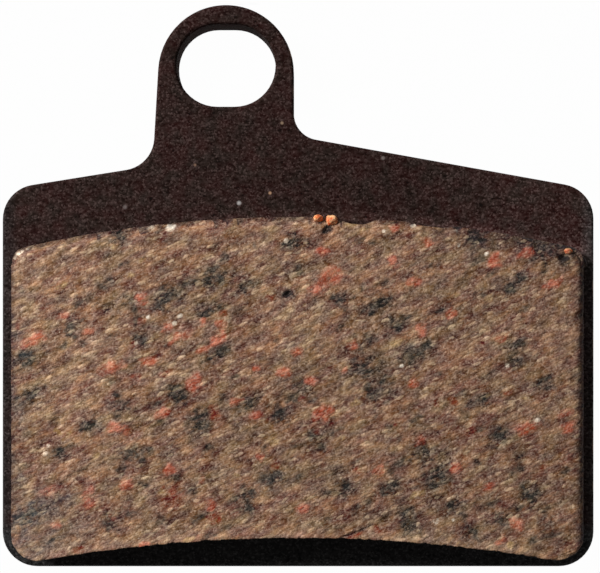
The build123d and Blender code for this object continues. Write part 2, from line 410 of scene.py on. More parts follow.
def blockShell():
    # The face, then ring after ring round the edge and down the wall to the foot
    face, bites, chunks = blockFace()
    rows, columns = face.shape[:2]
    index = np.arange(rows * columns).reshape(rows, columns)
    rim = np.concatenate([index[0, :-1], index[:-1, -1], index[-1, :0:-1], index[:0:-1, 0]])
    loop = face.reshape(-1, 3)[rim]
    straightEnd = np.zeros(rows - 1)
    bite = np.concatenate([bites[0][:-1], straightEnd, bites[1][:0:-1], straightEnd])
    missing = np.concatenate([np.zeros(columns - 1), straightEnd, chunks[:0:-1], straightEnd])
    whole = loop.copy()                 # the wall stands square to the rim as it was before it crumbled
    whole[:, 1] += (bite + missing) * np.sign(loop[:, 1] - loop[:, 1].mean())
    run = np.roll(whole, -1, axis=0) - np.roll(whole, 1, axis=0)
    outward = np.column_stack([run[:, 1], -run[:, 0]])
    outward /= np.linalg.norm(outward, axis=1)[:, None]

    grow, levels = edgeSection("friction_block")
    roundSteps = len(grow) - 2
    radius = grow[roundSteps]
    wallSteps = round((levels[-2] - levels[-1]) / frictionBlock["wallCellMm"])
    wall = np.linspace(0, 1, wallSteps + 1)[1:]
    grow = np.concatenate([grow[1:-1], grow[-2] + wall * (grow[-1] - grow[-2])])
    levels = np.concatenate([levels[1:-1], levels[-2] + wall * (levels[-1] - levels[-2])])
    crisp = frictionBlock["crispEdge"] * np.clip(1 - frictionBlock["crispFade"] * outward[:, 0], 0, 1)

    points = [face.reshape(-1, 3)]
    normals = [np.tile([0.0, 0.0, 1.0], (rows * columns, 1))]
    broken = [np.zeros(rows * columns)]
    rings = [rim]
    for step, (offset, level) in enumerate(zip(grow, levels)):
        turned = min(1.0, (step + 1) / roundSteps)
        square = np.clip([2 * turned, 2 * turned - 1], 0, 1) * radius
        out = np.full(len(loop), offset)
        height = np.full(len(loop), level)
        if step < roundSteps:
            out += crisp * (square[0] - offset)
            height += crisp * (loop[0, 2] - square[1] - level)
        down = (loop[0, 2] - level) / frictionBlock["biteTallMm"]
        out += bite * min(1.0, down)
        broken.append(bite * np.clip(2 - down, 0, 1))
        tilt = turned * math.pi / 2
        points.append(np.column_stack([loop[:, :2] + outward * out[:, None], height]))
        normals.append(np.column_stack([outward * math.sin(tilt), np.full(len(loop), math.cos(tilt))]))
        start = rows * columns + step * len(rim)
        rings.append(np.arange(start, start + len(rim)))
    quads = [gridQuads(index)]
    for upper, lower in zip(rings[:-1], rings[1:]):
        quads.append(np.column_stack([lower, np.roll(lower, -1), np.roll(upper, -1), upper]))
    faces = [tuple(q) for q in np.concatenate(quads).tolist()]
    faces.append(tuple(rings[-1][::-1].tolist()))
    return np.concatenate(points), np.concatenate(normals), np.concatenate(broken), faces


def blockBox():
    return [np.array(corner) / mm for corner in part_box("friction_block")]


def rubRight(points):
    # Rubs the right edge round: the face dips away towards it
    high = blockBox()[1]
    grow = edgeSection("friction_block")[0]
    reach = frictionBlock["wornMm"]
    edge = high[0] - (grow[-1] - grow[-2])
    inside = np.clip((points[:, 0] - (edge - reach)) / reach, 0, 1)
    nearlyThere = 0.999
    dip = reach * (1 - np.sqrt(1 - np.minimum(inside, nearlyThere) ** 2))
    return np.minimum(points[:, 2], high[2] - dip)


def crumbleCrown(points, soft):
    # Crumbles the crown's edge: the face falls away towards it, here more and there less
    low, high = blockBox()
    crown = rimCurve(True)
    inCrown = np.interp(points[:, 0], crown[:, 0], crown[:, 1]) - points[:, 1]
    reach = np.interp(points[:, 0], [low[0], (low[0] + high[0]) / 2, high[0]], frictionBlock["crumbleMm"])
    fallen = np.clip(1 - inCrown / reach + frictionBlock["crumbleRagged"] * soft, 0, 1)
    dip = frictionBlock["crumbleDeepMm"] * fallen ** frictionBlock["crumbleFall"]
    return np.minimum(points[:, 2], high[2] - dip)


def blockGrimeAndShade(points, onFace, ragged):
    # Dirt in the rough rim: thin along the sides, thicker towards the crown's right end, and on the walls;
    # along the right-hand edge and on the walls it is painted shade as well
    low, high = blockBox()
    grow = edgeSection("friction_block")[0]
    draft = grow[-1] - grow[-2]
    crown = rimCurve(True)
    inCrown = np.interp(points[:, 0], crown[:, 0], crown[:, 1]) + grow[-2] - points[:, 1]
    inside = {
        "left": points[:, 0] - low[0] - draft,
        "right": high[0] - draft - points[:, 0],
        "crown": inCrown,
        "crownEnd": inCrown,
    }
    rise, start = frictionBlock["darkerEnd"]
    towardsRight = np.clip((points[:, 0] - low[0]) / (high[0] - low[0]) * rise - start, 0, 1)
    layers = []
    for rim, look in rimDirtAndShade.items():
        thick = look["start"] - inside[rim] / look["reachMm"] + look["ragged"] * ragged
        darkening = look["share"] * np.clip(thick, 0, look["most"])
        layers.append(darkening * towardsRight if rim == "crownEnd" else darkening)
    onAll, onEnd = frictionBlock["wallDirtAndShade"]
    layers.append((onAll + onEnd * towardsRight) * (1 - onFace))
    return np.max(layers, axis=0)


# Shape of a copper lump: facets, and how knobbly and how deeply sunk it is
knobShape = {
    "rings": 12,
    "turns": 20,
    "rough": 0.35,
    "roughSize": 0.8,
    "sunk": 0.8,                  # share of the crumbled edge's depth
}


def copperKnob(pixelX, pixelY, length, width, tall):
    # A rounded, knobbly lump, its lower half sunk in the compound
    rings, turns = knobShape["rings"], knobShape["turns"]
    lift = np.linspace(-math.pi / 2, math.pi / 2, rings + 1)[1:-1]
    turn = np.arange(turns) * 2 * math.pi / turns
    lift, turn = (grid.ravel() for grid in np.meshgrid(lift, turn, indexing="ij"))
    ball = np.column_stack([np.cos(turn) * np.cos(lift), np.sin(turn) * np.cos(lift), np.sin(lift)])
    ball = np.concatenate([ball, [(0, 0, -1), (0, 0, 1)]])
    knobbly = noiseAt(ball + (pixelX, pixelY, 0), knobShape["roughSize"], 1.0, noiseSlices["knob"])
    ball *= 1 + knobShape["rough"] * knobbly[:, None]
    index = np.arange((rings - 1) * turns).reshape(rings - 1, turns)
    index = np.column_stack([index, index[:, 0]])
    faces = [tuple(q) for q in gridQuads(index).tolist()]
    south, north = len(ball) - 2, len(ball) - 1
    for near, far, bottom, top in zip(index[0, :-1], index[0, 1:], index[-1, :-1], index[-1, 1:]):
        faces += [(south, int(far), int(near)), (north, int(bottom), int(top))]
    sunk = knobShape["sunk"] * frictionBlock["crumbleDeepMm"]
    centre = topSpot("friction_block", pixelX, pixelY)[0] - (0, 0, sunk)
    return centre + ball * (length / 2, width / 2, tall + sunk), faces


def reachFrom(pixelX, pixelY, length, width, lying):
    # How far each point lies from a spot of the photo, in half lengths of the grain there
    away = lying - streakFrame(topSpot("friction_block", pixelX, pixelY))
    return np.hypot(away[:, 0] * 2 / length, away[:, 1] * 2 / width)


def grainMasks(streak, onFace, ragged):
    # Where each kind of grain lies, 1 in its middle
    bent = streak.copy()
    for axis, name in enumerate(("bendAlong", "bendAcross")):
        bent[:, axis] += frictionBlock["bendByMm"][axis] * noiseAt(
            streak, frictionBlock["bendMm"], 1.0, noiseSlices[name])
    dealt = np.random.default_rng(frictionBlock["seed"])
    masks = {}
    for kind, grains in blockGrains.items():
        mask = np.zeros(len(streak))
        lying = streak if kind == "paleSpecks" else bent
        spread = frictionBlock["copperSpread"] if kind == "copperChips" else frictionBlock["grainSpread"]
        for grain in grains:
            strong = 1.0
            if kind in ("copperChips", "rustChips"):
                strong = dealt.uniform(*frictionBlock["chipStrength"])
            fade = spread - reachFrom(*grain, lying) - frictionBlock["grainRagged"] * ragged
            mask = np.maximum(mask, strong * np.clip(fade, 0, 1))
        masks[kind] = mask * np.clip(onFace * 3, 0, 1)   # none on the walls
    return masks


def faceRelief(streak, onFace):
    # Height of the ground face's grain in mm, quieter on the walls
    relief = 2 * frictionBlock["grainHeightMm"] * patternNoise(streak, "grain", frictionBlock["grainStretch"])
    relief += 2 * frictionBlock["lumpHeightMm"] * patternNoise(streak, "lump", frictionBlock["lumpStretch"])
    relief += 2 * frictionBlock["waveHeightMm"] * patternNoise(streak, "wave")
    pit = patternNoise(streak, "pit", frictionBlock["pitStretch"])
    relief -= frictionBlock["pitDepthMm"] * np.clip(pit - frictionBlock["pitFrom"], 0, 1)
    return relief * (frictionBlock["wallRelief"] + (1 - frictionBlock["wallRelief"]) * onFace)


def toneOf(points, relief, onFace):
    # Stops by which the face is paler or darker: painted shade in hollows and painted light on tops, the band
    # along the hollow edge, and painted light towards the left end
    hollow = rimCurve(False)
    inHollow = points[:, 1] - np.interp(points[:, 0], hollow[:, 0], hollow[:, 1])
    inLeft = points[:, 0] - points[:, 0].min()
    paleBand = np.clip(1 - inHollow / frictionBlock["paleBandMm"], 0, 1) * onFace
    paleLeft = np.clip(1 - inLeft / frictionBlock["paleLeftMm"], 0, 1) - frictionBlock["paleLeftMean"]
    hollowShade = np.clip(relief / frictionBlock["cavityMm"], *frictionBlock["cavityRange"])
    tone = frictionBlock["cavityStops"] * hollowShade
    return tone + frictionBlock["paleBandStops"] * paleBand + frictionBlock["paleLeftStops"] * paleLeft


def buildBlock():
    points, normals, broken, faces = blockShell()
    foot = points[:, 2].min()
    streak = streakFrame(points)
    soft = noiseAt(
        streak, frictionBlock["crumbleNoiseMm"], frictionBlock["raggedStretch"], noiseSlices["crumble"])
    worn = np.minimum(rubRight(points), crumbleCrown(points, soft))
    lowest = foot + frictionBlock["footWallMm"]
    points[:, 2] = np.where(points[:, 2] > lowest, np.maximum(worn, lowest), points[:, 2])

    onFace = normals[:, 2]
    ragged = patternNoise(streak, "ragged", frictionBlock["raggedStretch"])
    masks = grainMasks(streak, onFace, ragged)
    relief = faceRelief(streak, onFace)
    proud = masks["copperChips"] + masks["paleSpecks"] - masks["darkGrains"]
    relief += frictionBlock["chipHeightMm"] * proud
    torn = np.zeros(len(points))
    # Torn holes are cut into the relief and painted darker the deeper they are: painted shade
    perDepth, perHole, most = frictionBlock["holeShade"]
    for *pit, deep in tornPits:
        reach = reachFrom(*pit, streak) + frictionBlock["holeRagged"] * ragged
        hole = np.clip(frictionBlock["holeSpread"] - reach, 0, 1) * onFace
        relief -= deep * hole
        torn = np.maximum(torn, np.clip(perDepth * deep, 0, 1) * np.clip(perHole * hole, 0, most))
    settle = np.clip((points[:, 2] - foot) / frictionBlock["settleMm"], 0, 1)
    masks["toneStops"] = toneOf(points, relief, onFace)
    # Dirt in the bites and the rim; painted shade in the torn holes and along the right-hand edge, and partly
    # on the walls
    brokenDirt = np.clip(broken / frictionBlock["brokenMm"], 0, frictionBlock["brokenMost"])
    masks["grimeAndShade"] = np.max([torn, brokenDirt, blockGrimeAndShade(points, onFace, ragged)], axis=0)
    masks["copperLumps"] = np.zeros(len(points))
    points = points + normals * (relief * settle)[:, None]
    for *shape, shine in copperLumps:
        knob, knobFaces = copperKnob(*shape)
        faces += [tuple(len(points) + corner for corner in face) for face in knobFaces]
        points = np.concatenate([points, knob])
        for name, values in masks.items():
            masks[name] = np.append(values, np.full(len(knob), shine * (name == "copperLumps")))

    mesh = bpy.data.meshes.new("frictionBlock")
    mesh.from_pydata((points * mm).tolist(), [], faces)
    mesh.validate()
    mesh.update()
    mesh.shade_smooth()
    for name, values in masks.items():
        marks = mesh.attributes.new(name, "FLOAT", "POINT")
        marks.data.foreach_set("value", values.astype(np.float32))
    piece = bpy.data.objects.new("friction_block_ground", mesh)
    bpy.context.scene.collection.objects.link(piece)
    return piece


# What the compound shows: sizes in mm, tones in photographic stops
compound = {
    "browns": [(0.3, "8C725C"), (0.5, "8F705B"), (0.7, "936F5A")],
    "hueMm": 0.6,
    "drawnOut": 1.7,              # patches are this much longer along the grinding marks than across
    "casts": [(0.35, "F7F5FF"), (0.65, "FFFFF3")],   # slate cast where it is dark, straw where it is pale
    "grimeAndShade": "33292A",
    "patchyCover": (0.75, 1.25),        # thinnest and thickest share of the grime and painted shade
    # copper lumps: deep orange with pale patches of painted highlight, the patches of this size
    "shine": ("D25E30", "FBC48E"),
    "glintMm": 0.16,
    "rimMm": 0.25,                # ragged bits on the rims of grains, and how much they add or take
    "rimShare": (0.2, 1.8),
    "shadeMm": 0.5,               # each grain's own shade
    "patchMm": 0.45,
    "patchStops": 1.58,
    "bandMm": 1.0,                # long pale and dark bands that the grinding left
    "bandStretch": 3.5,
    "bandStops": 0.22,
    "crumbMm": 0.125,
    "crumbStretch": 2.8,
    "crumb": "473D34",            # each crumb adds or takes up to half of this
    "crumbHeightMm": 0.024,
    "crumbBlend": 0.4,            # softness of the seams between crumbs
    "paleCrumb": "877861",        # a few crumbs are this much paler, partly painted highlight
    "paleCrumbRare": 8.0,
    "gapStops": 0.38,             # painted shade in the gaps between crumbs
    "dustMm": 0.085,              # real grit is finer: drawn two pixels coarse, so that it shows
    "gritAndGlints": "6E6256",             # the finest grit, partly painted glints, adds up to four fifths of this, or takes a fifth
    "dustRare": 4.0,
    "dustHeightMm": 0.016,
    "threadMm": 0.13,
    "threadStretch": 2.4,
    "threadWidth": 0.07,          # noise this far from its mean is still fibre
    "thread": "564E47",           # pale fibres add up to three quarters of this, the gaps take a quarter
    "soiledOrShadedShare": 0.45,          # so much of crumbs, fibres and dust shows on dark grains and in the grime and painted shade
    "darkest": "1C1815",
    "roughness": 0.88,
    "specular": 0.15,             # dry and dusty, so well below the usual 0.5
}

# Two tones for each kind, the size and rarity of those strewn at random (above 1 strews none), cover in
# the middle and softness of the rim
compoundGrains = {
    "slateSmudges": {"tones": ("303330", "4E4B45"), "strewMm": 1.8, "rare": 0.85, "cover": 0.6, "soft": 1.1},
    "darkGrains": {"tones": ("2B2E2A", "4A473F"), "strewMm": 0.9, "rare": 0.8, "cover": 0.7, "soft": 1.1},
    "strawGrains": {"tones": ("A88658", "D6B484"), "strewMm": 0.4, "rare": 0.8, "cover": 0.6, "soft": 0.9},
    "copperChips": {"tones": ("AB5741", "D28065"), "strewMm": 0.45, "rare": 0.9, "cover": 0.72, "soft": 1.0},
    "rustChips": {"tones": ("66301F", "904B36"), "strewMm": 0.5, "rare": 0.95, "cover": 0.75, "soft": 0.9},
    "paleSpecks": {"tones": ("DCC2A4", "FAEEDD"), "strewMm": 0.16, "rare": 0.84, "cover": 0.95, "soft": 0.7},
    "greyDust": {"tones": ("565755", "686866"), "strewMm": 1.0, "rare": 1.2, "cover": 0.42, "soft": 1.1},
}


def frictionCompound():
    # Moulded organic friction compound, ground: dull brown resin full of grit, dark grains and copper chips
    material, tree = newMaterial("frictionCompoundGround")
    place = addNode(tree, "ShaderNodeTexCoord")
    turned = addNode(tree, "ShaderNodeMapping", {
        "Vector": place.outputs["Object"],
        "Scale": (1 / mm, 1 / mm, 1 / mm),
        "Rotation": (0, 0, math.radians(-frictionBlock["grindAngle"])),
    }).outputs["Vector"]
    drawn = addNode(tree, "ShaderNodeMapping", {
        "Vector": turned, "Scale": (1 / compound["drawnOut"], 1, 1)}).outputs["Vector"]

    def strewn(sizeMm, apart=0, detail=1.0, roughness=0.5):
        # Soft noise along the grinding marks, another field for each distance apart
        moved = addNode(tree, "ShaderNodeMapping", {"Vector": drawn, "Location": (apart, 2 * apart, 0)})
        return addNode(tree, "ShaderNodeTexNoise", {
            "Vector": moved.outputs["Vector"], "Scale": 1 / sizeMm, "Detail": detail, "Roughness": roughness,
        }).outputs["Fac"]

    # Resin: brown, here rosier and there more olive, with a slate or straw cast, in patches of tone
    browns = addNode(tree, "ShaderNodeValToRGB", {"Fac": strewn(compound["hueMm"], 0, 0.6)})
    setStops(browns, compound["browns"])
    casts = addNode(tree, "ShaderNodeValToRGB", {"Fac": strewn(compound["patchMm"], 0, 0.6)})
    setStops(casts, compound["casts"])
    cast = addNode(tree, "ShaderNodeMix", {
        0: 1.0, 6: browns.outputs["Color"], 7: casts.outputs["Color"]},
        data_type="RGBA", blend_type="MULTIPLY")
    patches = addNode(tree, "ShaderNodeMapRange", {
        "Value": strewn(compound["patchMm"], 0, 3.0, 0.8),
        "To Min": -compound["patchStops"], "To Max": compound["patchStops"]}, clamp=False)
    banded = addNode(tree, "ShaderNodeMapping", {
        "Vector": turned, "Scale": (1 / compound["bandStretch"], 1, 1)})
    bands = addNode(tree, "ShaderNodeTexNoise", {
        "Vector": banded.outputs["Vector"], "Scale": 1 / compound["bandMm"], "Detail": 1.0})
    bandTone = addNode(tree, "ShaderNodeMapRange", {
        "Value": bands.outputs["Fac"], "From Min": 0.3, "From Max": 0.7,
        "To Min": -compound["bandStops"], "To Max": compound["bandStops"]})
    resinTone = addNode(tree, "ShaderNodeMath", {0: patches.outputs["Result"], 1: bandTone.outputs["Result"]})
    patchTone = addNode(tree, "ShaderNodeMath", {0: 2.0, 1: resinTone.outputs[0]}, operation="POWER")
    colour = addNode(tree, "ShaderNodeVectorMath", {
        0: cast.outputs[2], "Scale": patchTone.outputs[0]}, operation="SCALE").outputs["Vector"]

    # Grains, where the mesh marks them and strewn at random
    edge = addNode(tree, "ShaderNodeMapRange", {
        "Value": strewn(compound["rimMm"], 70, 3.0, 0.7), "From Min": 0.3, "From Max": 0.7,
        "To Min": compound["rimShare"][0], "To Max": compound["rimShare"][1]})
    halfCover = 0.6                     # strength of the mark at which a grain covers half
    for layer, (kind, look) in enumerate(compoundGrains.items()):
        marked = addNode(tree, "ShaderNodeAttribute", attribute_name=kind)
        scattered = addNode(tree, "ShaderNodeMapRange", {
            "Value": strewn(look["strewMm"], 13 * layer + 5),
            "From Min": look["rare"] - 0.1, "From Max": look["rare"] + 0.1})
        either = addNode(tree, "ShaderNodeMath", {
            0: marked.outputs["Fac"], 1: scattered.outputs["Result"]}, operation="MAXIMUM")
        broken = addNode(tree, "ShaderNodeMath", {
            0: either.outputs[0], 1: edge.outputs["Result"]}, operation="MULTIPLY")
        cover = addNode(tree, "ShaderNodeMapRange", {
            "Value": broken.outputs[0],
            "From Min": halfCover - look["soft"] / 2, "From Max": halfCover + look["soft"] / 2,
            "To Max": look["cover"]})
        pick = addNode(tree, "ShaderNodeMapRange", {
            "Value": strewn(compound["shadeMm"], 13 * layer + 90), "From Min": 0.3, "From Max": 0.7})
        tone = addNode(tree, "ShaderNodeMix", {
            0: pick.outputs["Result"], 6: linearColour(look["tones"][0]), 7: linearColour(look["tones"][1]),
        }, data_type="RGBA")
        colour = addNode(tree, "ShaderNodeMix", {
            0: cover.outputs["Result"], 6: colour, 7: tone.outputs[2]}, data_type="RGBA").outputs[2]
        if kind == "darkGrains":
            darkCover = cover.outputs["Result"]

    # Grime and painted shade in the rim, and bright lumps of copper, deep orange broken by pale patches of
    # painted highlight
    grimeAndShade = addNode(tree, "ShaderNodeAttribute", attribute_name="grimeAndShade")
    patchyCover = addNode(tree, "ShaderNodeMapRange", {
        "Value": edge.outputs["Result"],
        "From Min": compound["rimShare"][0], "From Max": compound["rimShare"][1],
        "To Min": compound["patchyCover"][0], "To Max": compound["patchyCover"][1]})
    grimeAndShadeCover = addNode(tree, "ShaderNodeMath", {
        0: grimeAndShade.outputs["Fac"], 1: patchyCover.outputs["Result"]}, operation="MULTIPLY", use_clamp=True)
    colour = addNode(tree, "ShaderNodeMix", {
        0: grimeAndShadeCover.outputs[0], 6: colour, 7: linearColour(compound["grimeAndShade"])}, data_type="RGBA").outputs[2]
    lumps = addNode(tree, "ShaderNodeAttribute", attribute_name="copperLumps")
    glint = addNode(tree, "ShaderNodeMapRange", {
        "Value": strewn(compound["glintMm"], 150), "From Min": 0.35, "From Max": 0.7})
    sheen = addNode(tree, "ShaderNodeMix", {
        0: glint.outputs["Result"],
        6: linearColour(compound["shine"][0]), 7: linearColour(compound["shine"][1]),
    }, data_type="RGBA")
    colour = addNode(tree, "ShaderNodeMix", {
        0: lumps.outputs["Fac"], 6: colour, 7: sheen.outputs[2]}, data_type="RGBA").outputs[2]

    # Crumbs, fibres and dust over all, their pale bits partly painted highlight, quieter on the dark grains
    # and in the grime and painted shade
    dragged = addNode(tree, "ShaderNodeMapping", {
        "Vector": turned, "Scale": (1 / compound["crumbStretch"], 1, 1)})
    crumbs = addNode(tree, "ShaderNodeTexVoronoi", {
        "Vector": dragged.outputs["Vector"], "Scale": 1 / compound["crumbMm"],
        "Smoothness": compound["crumbBlend"]}, feature="SMOOTH_F1")
    gritAndGlints = addNode(tree, "ShaderNodeTexVoronoi", {"Vector": turned, "Scale": 1 / compound["dustMm"]})
    crumbPick = addNode(tree, "ShaderNodeSeparateColor", {"Color": crumbs.outputs["Color"]})
    dustPick = addNode(tree, "ShaderNodeSeparateColor", {"Color": gritAndGlints.outputs["Color"]})
    # Painted shade in the gaps between crumbs; the mesh's stops add painted shade in hollows, painted light
    # on tops and towards the left end, and the paler band along the hollow edge
    gaps = addNode(tree, "ShaderNodeMapRange", {
        "Value": crumbs.outputs["Distance"], "From Min": 0.35, "From Max": 0.75,
        "To Max": -compound["gapStops"]})
    relief = addNode(tree, "ShaderNodeAttribute", attribute_name="toneStops")
    stops = addNode(tree, "ShaderNodeMath", {0: relief.outputs["Fac"], 1: gaps.outputs["Result"]})
    bright = addNode(tree, "ShaderNodeMath", {0: 2.0, 1: stops.outputs[0]}, operation="POWER")
    added = addNode(tree, "ShaderNodeVectorMath", {
        0: colour, "Scale": bright.outputs[0]}, operation="SCALE").outputs["Vector"]
    rareBright = addNode(tree, "ShaderNodeMath", {
        0: dustPick.outputs["Red"], 1: compound["dustRare"]}, operation="POWER")
    paleCrumbs = addNode(tree, "ShaderNodeMath", {
        0: crumbPick.outputs["Green"], 1: compound["paleCrumbRare"]}, operation="POWER")
    combed = addNode(tree, "ShaderNodeMapping", {
        "Vector": turned, "Scale": (1 / compound["threadStretch"], 1, 1)})
    soft = addNode(tree, "ShaderNodeTexNoise", {
        "Vector": combed.outputs["Vector"], "Scale": 1 / compound["threadMm"], "Detail": 1.0})
    offMean = addNode(tree, "ShaderNodeMath", {0: soft.outputs["Fac"], 1: 0.5}, operation="SUBTRACT")
    away = addNode(tree, "ShaderNodeMath", {0: offMean.outputs[0]}, operation="ABSOLUTE")
    fibres = addNode(tree, "ShaderNodeMapRange", {   # thin winding lines, where the noise crosses its mean
        "Value": away.outputs[0], "From Min": compound["threadWidth"], "From Max": 0.0}).outputs["Result"]
    soiledOrShaded = addNode(tree, "ShaderNodeMath", {0: darkCover, 1: grimeAndShadeCover.outputs[0]}, operation="MAXIMUM")
    clear = addNode(tree, "ShaderNodeMapRange", {
        "Value": soiledOrShaded.outputs[0], "To Min": 1.0, "To Max": compound["soiledOrShadedShare"]})
    for source, mean, hexCode in (       # less its own mean each, so that the whole stays as bright
        (crumbPick.outputs["Red"], 0.5, compound["crumb"]),
        (paleCrumbs.outputs[0], 0.11, compound["paleCrumb"]),
        (rareBright.outputs[0], 0.2, compound["gritAndGlints"]),
        (fibres, 0.25, compound["thread"]),
    ):
        centred = addNode(tree, "ShaderNodeMath", {0: source, 1: mean}, operation="SUBTRACT")
        sparse = addNode(tree, "ShaderNodeMath", {
            0: centred.outputs[0], 1: clear.outputs["Result"]}, operation="MULTIPLY")
        added = addNode(tree, "ShaderNodeVectorMath", {
            0: sparse.outputs[0], 1: linearColour(hexCode)[:3], 2: added},
            operation="MULTIPLY_ADD").outputs["Vector"]
    seen = addNode(tree, "ShaderNodeVectorMath", {
        0: added, 1: linearColour(compound["darkest"])[:3]}, operation="MAXIMUM")

    crumbBump = addNode(tree, "ShaderNodeBump", {
        "Height": crumbs.outputs["Distance"], "Distance": compound["crumbHeightMm"] * mm}, invert=True)
    dustBump = addNode(tree, "ShaderNodeBump", {
        "Height": gritAndGlints.outputs["Distance"], "Distance": compound["dustHeightMm"] * mm,
        "Normal": crumbBump.outputs["Normal"]}, invert=True)
    shader = addNode(tree, "ShaderNodeBsdfPrincipled", {
        "Base Color": seen.outputs["Vector"], "Roughness": compound["roughness"],
        "Specular IOR Level": compound["specular"], "Normal": dustBump.outputs["Normal"]})
    addNode(tree, "ShaderNodeOutputMaterial", {"Surface": shader.outputs["BSDF"]})
    return material


block = buildBlock()
block.data.materials.append(frictionCompound())
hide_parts("friction_block")
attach(block, "root")
print("friction block:", len(block.data.polygons), "faces")


# Backing plate: the stamped steel stays as drawn, under a thin coat
primer = {
    "coat": "2C201E",
    "rust": "33100E",
    "olive": "20211A",
    "tintMm": 0.8,
    "tintCover": 0.2,
    "dustMm": 0.075,              # drawn coarser than real, as on the block
    "gritAndGlints": "3B302E",             # fine grit, partly painted glints, adds up to four fifths of this, or takes a fifth
    "dustRare": 4.0,
    "wipeMm": 0.13,               # faint streaks that wiping left along the width
    "wipeStretch": 2.0,
    "wipe": "3F3533",             # each adds or takes up to half of this
    "darkest": "0F0A09",
    "patchMm": 0.9,
    "patchStops": 0.75,
    "dimpleMm": 0.008,
    "roughness": (0.8, 0.35),     # of the coat, and of bare metal
    "specular": 0.025,            # a rough, dusty coat mirrors next to nothing of the white round it
    "paleRightMm": (9.0, 13.5),       # painted light: from here to there the right shoulder is painted paler
    "paleRightShare": 1.45,
    "footLightMm": 0.42,              # painted light: the coat is painted paler this far out along the crown's foot
    "footLightShare": 1.4,
    "footLightFromMm": -6.0,          # none left of here
    "footLightInside": 4.0,           # under the block it ends this many times sooner
    "topMm": (1.74, 1.79),        # levels from which it lies on the plate's top
    "sideBandMm": 0.7,              # along both sides the caliper has rubbed the coat grey, this far in
    "rubbedSaturation": 0.4,
    "sideLevels": (0.95, 1.5),   # brightness left and right; the right one is painted light on the right margin, which lies in shade
    "greyStripMm": (-21.6, -22.2),     # from here down the coat is turned grey
    "greyStripSaturation": 0.12,
    "bareMm": (1.62, 1.78),       # levels between which the right-hand edge is rubbed bare, here and there
    "bareFadeMm": 0.03,
    "bareSpotMm": 1.6,
    "bareSpots": (0.5, 0.7),      # noise from which a spot is worn, and bare
    "bareFacing": (0.5, 0.75),    # only where the edge faces right this much
    "bareFromMm": (2.5, 2.6),     # and only right of here, so not in the eye
    "speckCore": 0.4,             # share of a dirt speck's radius that is solid
    "bareMetal": "A98772",
}

# Specks of dirt on the coat: pixel x and y in the photo, radius in mm, colour
plateSpecks = [
    (239, 203, 0.13, "9A9694"), (270, 193, 0.1, "9A7A62"), (282, 123, 0.1, "7E6A58"),
    (195, 165, 0.09, "6E5648"), (383, 158, 0.12, "6A605C"), (125, 207, 0.13, "5E5452"),
]


def crownArc():
    # Middle and radius in mm of the round crown, at the block's foot
    rim = rimCurve(True)
    middle = (rim[0, 0] + rim[-1, 0]) / 2
    clearOfCorners = 0.4
    reach = clearOfCorners * (rim[-1, 0] - rim[0, 0])
    top, side = np.interp([middle, middle + reach], rim[:, 0], rim[:, 1])
    radius = (reach ** 2 + (top - side) ** 2) / (2 * (top - side))
    grow = edgeSection("friction_block")[0]
    return (middle, top - radius, 0.0), radius + grow[-1]


